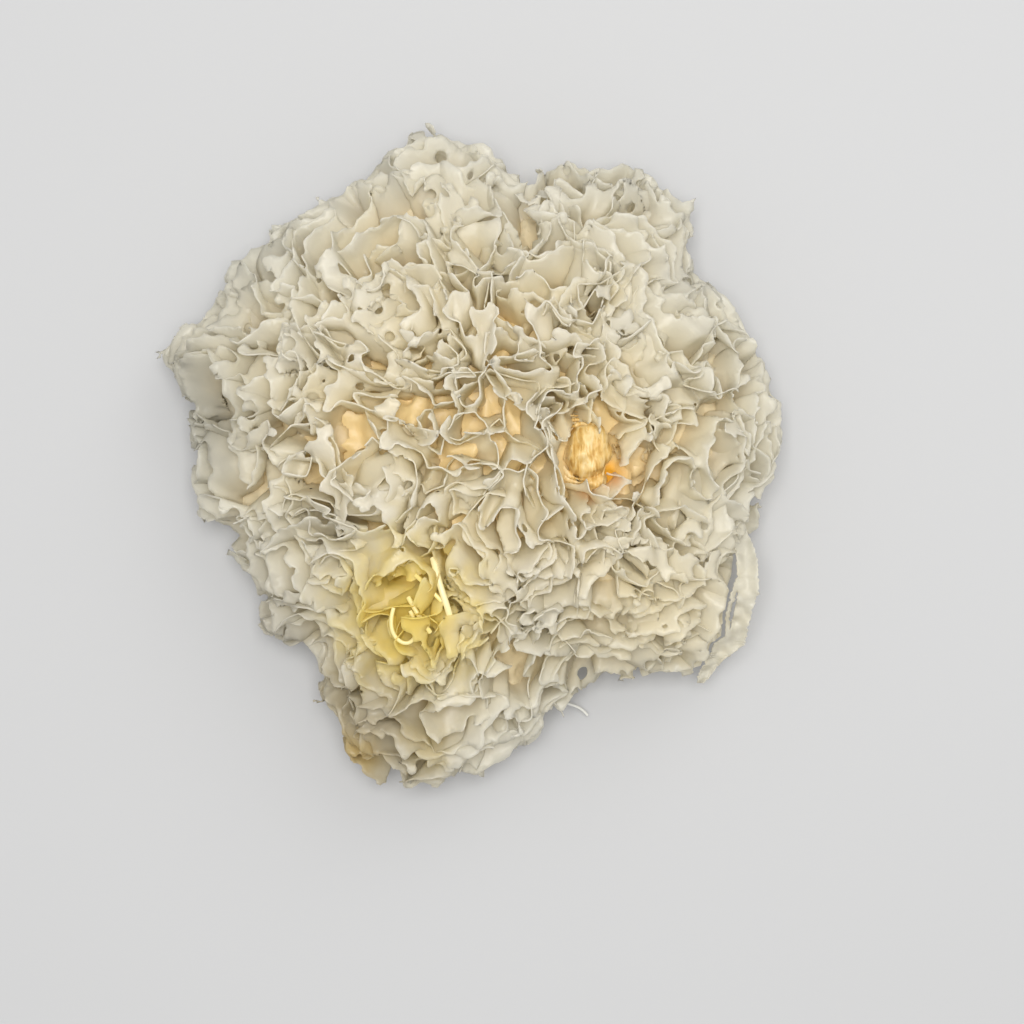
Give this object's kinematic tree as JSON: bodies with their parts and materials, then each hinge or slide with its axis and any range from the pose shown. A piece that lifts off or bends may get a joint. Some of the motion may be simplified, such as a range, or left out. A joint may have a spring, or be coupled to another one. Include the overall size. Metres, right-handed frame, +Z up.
{
  "type": "snow fungus",
  "caption": "Soaked snow fungus head: a low dome of thin, ruffled, cream-white translucent fronds round a small amber stub, with a yellow patch and a hanging torn strip.",
  "frame": {"origin": "centre of the head's footprint in plan, on the surface that the flat underside rests on", "axes": "+Z up towards the viewer of the picture, +X to the picture's right, +Y to the picture's top along the head's longest side"},
  "size_m": [0.1617, 0.1708, 0.059],
  "materials": {
    "cream_flesh": "wet, translucent, smooth",
    "pale_flesh": "wet, clear and greyish, smooth",
    "yellow_flesh": "wet, translucent, stained yellow",
    "amber_stub": "wet, firm, with fine growth rings"
  },
  "bodies": {
    "root": {"frond_right": "cream_flesh", "frond_upper_right": "cream_flesh", "frond_top": "cream_flesh", "frond_upper_left": "pale_flesh", "frond_left": "pale_flesh", "frond_lower_left": "pale_flesh", "frond_bottom_left": "yellow_flesh", "frond_bottom": "cream_flesh", "frond_lower_right": "cream_flesh", "crown_right": "cream_flesh", "crown_top": "cream_flesh", "crown_left": "cream_flesh", "crown_bottom_left": "yellow_flesh", "crown_bottom_right": "cream_flesh", "stub": "amber_stub", "hanging_strip": "pale_flesh"}
  },
  "joints": []
}
